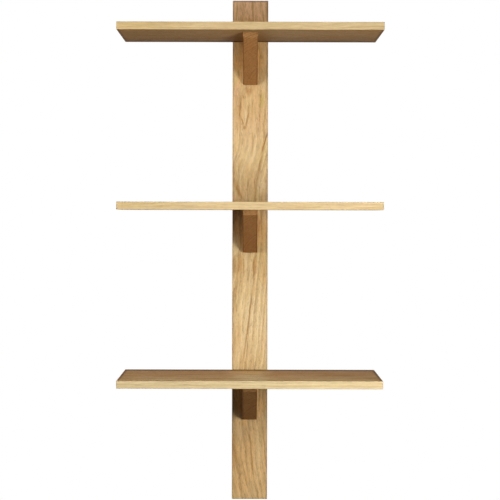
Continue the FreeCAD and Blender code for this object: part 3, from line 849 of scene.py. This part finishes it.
def dowel_beech():
    """Pale pinkish beech with short dark flecks."""
    material, graph, shader = new_material("dowel_beech")
    position = graph.add("ShaderNodeTexCoord").outputs["Object"]
    flecks = graph.place(RAY_FLECKS, flow=position, heart=BEECH_HEART, seed=SEED["beech"])["Flecks"]
    streaks = graph.place(FIBRE_STREAKS, flow=position, seed=SEED["beech"])
    colour = graph.cover(BEECH, BEECH_FLECK, flecks, BEECH_FLECK_SHARE)
    colour = graph.scaled(colour, graph.number("MULTIPLY_ADD", streaks["Narrow"], -0.12, 1.05))
    graph.feed(shader.inputs["Base Color"], colour)
    graph.feed(shader.inputs["Roughness"], graph.number("MULTIPLY_ADD", flecks, -0.1, BEECH_ROUGHNESS))
    return material


def plated_metal(name, bright, dull, rough, scratch_size, seed):
    """Zinc plating: blotchy bloom, with fine scratches that show more polished."""
    material, graph, shader = new_material(name)
    position = graph.add("ShaderNodeTexCoord").outputs["Object"]
    scuffs = graph.place(METAL_SCUFFS, position=position, scratch_size=scratch_size, seed=seed)
    drift = graph.place(TONE_DRIFT, position=position, patch_size=PLATING_PATCH, seed=seed)["Patch"]
    dullness = graph.number("MULTIPLY_ADD", scuffs["Bloom"], 0.5, graph.number("MULTIPLY", drift, 0.5))
    colour = graph.scaled(graph.cover(bright, dull, dullness), graph.varied(scuffs["Scratches"], -0.12))
    graph.feed(shader.inputs["Base Color"], colour)
    shader.inputs["Metallic"].default_value = 1.0
    rough = graph.number("MULTIPLY_ADD", dullness, 0.16, rough)
    graph.feed(shader.inputs["Roughness"], graph.number("MULTIPLY_ADD", scuffs["Scratches"], -0.08, rough))
    height = graph.number("ADD", scuffs["Scratches"], scuffs["Bloom"])
    emboss(graph, shader, height, strength=0.3, depth=PLATING_RELIEF)
    return material


def dress(node, material):
    """Gives a CAD piece its finish."""
    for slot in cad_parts[node].material_slots:
        slot.material = material


def dress_all():
    dress("spine_board", spine_oak())
    beech = dowel_beech()
    screw_zinc = plated_metal(
        "screw_zinc", ZINC_BRIGHT, ZINC_DULL, ZINC_ROUGHNESS, ZINC_SCRATCH, SEED["zinc"])
    hanger_steel = plated_metal(
        "hanger_steel", STEEL_BRIGHT, STEEL_DULL, STEEL_ROUGHNESS, STEEL_SCRATCH, SEED["steel"])
    for number, level in enumerate(LEVELS):
        dress(f"{level}_shelf", shelf_oak(level, SEED["shelves"] + number))
        dress(f"{level}_bracket", bracket_oak(level, SEED["brackets"] + number))
        dress(f"{level}_dowels", beech)
        dress(f"{level}_shelf_screws", screw_zinc)
        dress(f"{level}_bracket_screws", screw_zinc)
    for name in HANGERS:
        dress(f"{name}_hanger_plate", hanger_steel)
        dress(f"{name}_hanger_screws", screw_zinc)


# --- the studio -----------------------------------------------------------------------------------

FLOOR_HEIGHT = -1.9
FLOOR_RADIUS = 3.5
FLOOR_SHADES = (swatch(168, 168, 166), swatch(162, 162, 160))
FLOOR_PATCH = (0.8, 0.8, 0.8)
POOL_INNER = 0.9           # the floor keeps its own shade up to here
POOL_OUTER = 2.4           # and is plain white from here on
POOL_GLOW = 0.74           # the floor's own glow inside; outside it is 1
AIR_LIGHT = 0.03

# name, azimuth in degrees, height, distance, width and tallness in metres, and watts
SOFTBOXES = (
    ("main_softbox", 33.0, -0.11, 1.35, 0.27, 0.6, 11.7),
    ("high_softbox", -34.0, 1.05, 2.1, 0.8, 0.8, 17.3),
    ("side_softbox", -40.0, 0.3, 1.35, 0.5, 0.5, 5.7),
    ("overhead_softbox", 0.0, 3.2, 0.1, 0.4, 0.4, 34.0),
    ("rear_softbox", 180.0, 0.0, 6.0, 1.5, 1.5, 140.0),
    ("right_softbox", 100.0, 0.0, 6.0, 1.5, 1.5, 75.0),
    ("left_softbox", -100.0, 0.0, 6.0, 1.5, 1.5, 75.0),
)
AIM_PLACE = -0.1           # the softboxes aim this far in front of the wall
AIM_SHARE = 0.4            # and at this share of their own height


def seen_directly(graph):
    """1 for what a camera, a shiny surface or glass sees, and 0 for the light that falls on the object."""
    rays = graph.add("ShaderNodeLightPath").outputs
    seen = graph.number("MAXIMUM", rays["Is Camera Ray"], rays["Is Glossy Ray"])
    return graph.number("MAXIMUM", seen, rays["Is Transmission Ray"])


def floor_paint():
    """Pale grey round the object, which glows to plain white further out."""
    material, graph, shader = new_material("pale_floor")
    place = graph.add("ShaderNodeTexCoord").outputs["Object"]
    across, back, _ = graph.split(place)
    distance = graph.vector("LENGTH", graph.join(across, back, 0.0))
    far = graph.ease(distance, POOL_INNER, POOL_OUTER)
    drift = graph.place(TONE_DRIFT, position=place, patch_size=FLOOR_PATCH, seed=SEED["floor"])["Patch"]
    graph.feed(shader.inputs["Base Color"], graph.mix(drift, *FLOOR_SHADES))
    shader.inputs["Roughness"].default_value = 0.9
    shader.inputs["Emission Color"].default_value = WHITE
    glow = graph.number("MULTIPLY_ADD", far, 1.0 - POOL_GLOW, POOL_GLOW)
    graph.feed(shader.inputs["Emission Strength"], graph.product(glow, seen_directly(graph)))
    return material


def lay_floor():
    mesh = bpy.data.meshes.new("studio_floor")
    shape = bmesh.new()
    bmesh.ops.create_circle(shape, cap_ends=True, radius=FLOOR_RADIUS, segments=96)
    bmesh.ops.translate(shape, verts=shape.verts, vec=(0.0, 0.0, FLOOR_HEIGHT))
    shape.to_mesh(mesh)
    shape.free()
    floor = bpy.data.objects.new("studio_floor", mesh)
    bpy.context.scene.collection.objects.link(floor)
    mesh.materials.append(floor_paint())


def fill_air():
    """Faint soft light from all round. The air itself looks white."""
    world = bpy.data.worlds.new("studio_air")
    world.use_nodes = True
    bpy.context.scene.world = world
    graph = Graph(world.node_tree)
    background = world.node_tree.nodes["Background"]
    background.inputs["Color"].default_value = WHITE
    strength = graph.number("MULTIPLY_ADD", seen_directly(graph), 1.0 - AIR_LIGHT, AIR_LIGHT)
    graph.feed(background.inputs["Strength"], strength)


def hang_softbox(name, azimuth, height, distance, width, tall, watts):
    """A softbox that faces the bookshelf. Azimuth 0 is straight in front, and positive is to the right."""
    lamp = bpy.data.lights.new(name, "AREA")
    lamp.shape = "RECTANGLE"
    lamp.size = width
    lamp.size_y = tall
    lamp.energy = watts
    softbox = bpy.data.objects.new(name, lamp)
    turn = math.radians(azimuth)
    softbox.location = (distance * math.sin(turn), -distance * math.cos(turn), height)
    aim = Vector((0.0, AIM_PLACE, height * AIM_SHARE)) - softbox.location
    softbox.rotation_mode = "QUATERNION"
    softbox.rotation_quaternion = aim.to_track_quat("-Z", "Y")
    softbox.visible_camera = False
    softbox.visible_glossy = abs(azimuth) < 90.0      # those behind the front stay out of reflections
    bpy.context.scene.collection.objects.link(softbox)


def set_lights():
    for softbox in SOFTBOXES:
        hang_softbox(*softbox)
    fill_air()


# --- the camera -----------------------------------------------------------------------------------

PICTURE_SIDE = 500.0       # in pixels
SENSOR_WIDTH = 36.0        # in millimetres
FOCAL_PIXELS = 1210.4
CAMERA_PLACE = (0.0, -2.9343, 0.0907)
LOOKING_DOWN = 1.037       # in degrees
ROLL = 0.132
SHIFT = -0.03              # a share of the picture's side


def set_camera():
    camera_data = bpy.data.cameras.new("front_camera")
    camera_data.sensor_width = SENSOR_WIDTH
    camera_data.lens = FOCAL_PIXELS * SENSOR_WIDTH / PICTURE_SIDE
    camera_data.shift_y = SHIFT
    camera = bpy.data.objects.new("front_camera", camera_data)
    camera.location = CAMERA_PLACE
    camera.rotation_euler = (math.radians(90.0 - LOOKING_DOWN), 0.0, 0.0)
    camera.rotation_euler.rotate_axis("Z", math.radians(ROLL))
    bpy.context.scene.collection.objects.link(camera)
    bpy.context.scene.camera = camera


dress_all()
lay_floor()
set_lights()
set_camera()
bpy.context.scene.view_settings.view_transform = "Standard"
